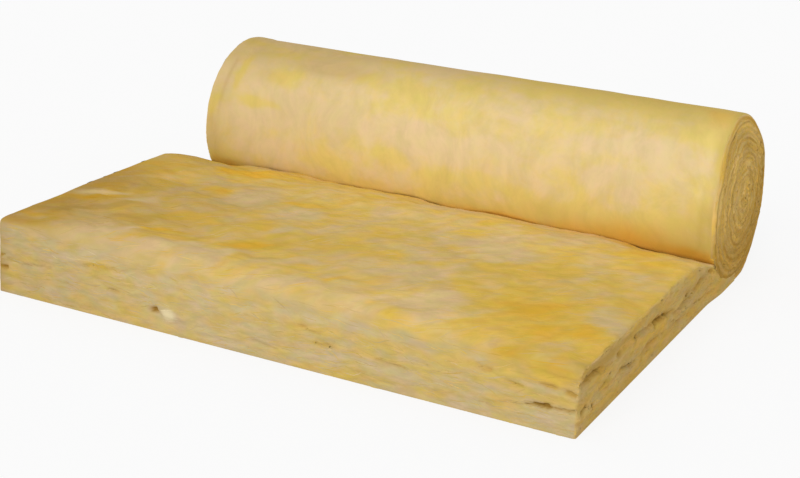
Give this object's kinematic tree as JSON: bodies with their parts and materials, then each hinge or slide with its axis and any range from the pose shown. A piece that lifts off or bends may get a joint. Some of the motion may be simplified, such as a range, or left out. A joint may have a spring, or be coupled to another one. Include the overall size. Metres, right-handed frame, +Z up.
{
  "type": "partly unrolled glass wool insulation roll",
  "caption": "Unfaced glass wool blanket, one piece of stock: its back end is wound into a tight roll on the floor and its front end lies out flat and loose, with a soft rounded free edge",
  "frame": {"origin": "On the floor under the middle of the whole blanket: the centre of the bounding box's bottom", "axes": "+X runs along the roll, across the blanket's width; -Y points to the free cut end and +Y to the roll; +Z is up off the floor"},
  "size_m": [1.2, 1.061, 0.354],
  "materials": {
    "glass_wool": "matte fibrous wool, golden yellow with cream streaks"
  },
  "bodies": {
    "root": {"wool_blanket": "glass_wool"}
  },
  "joints": []
}
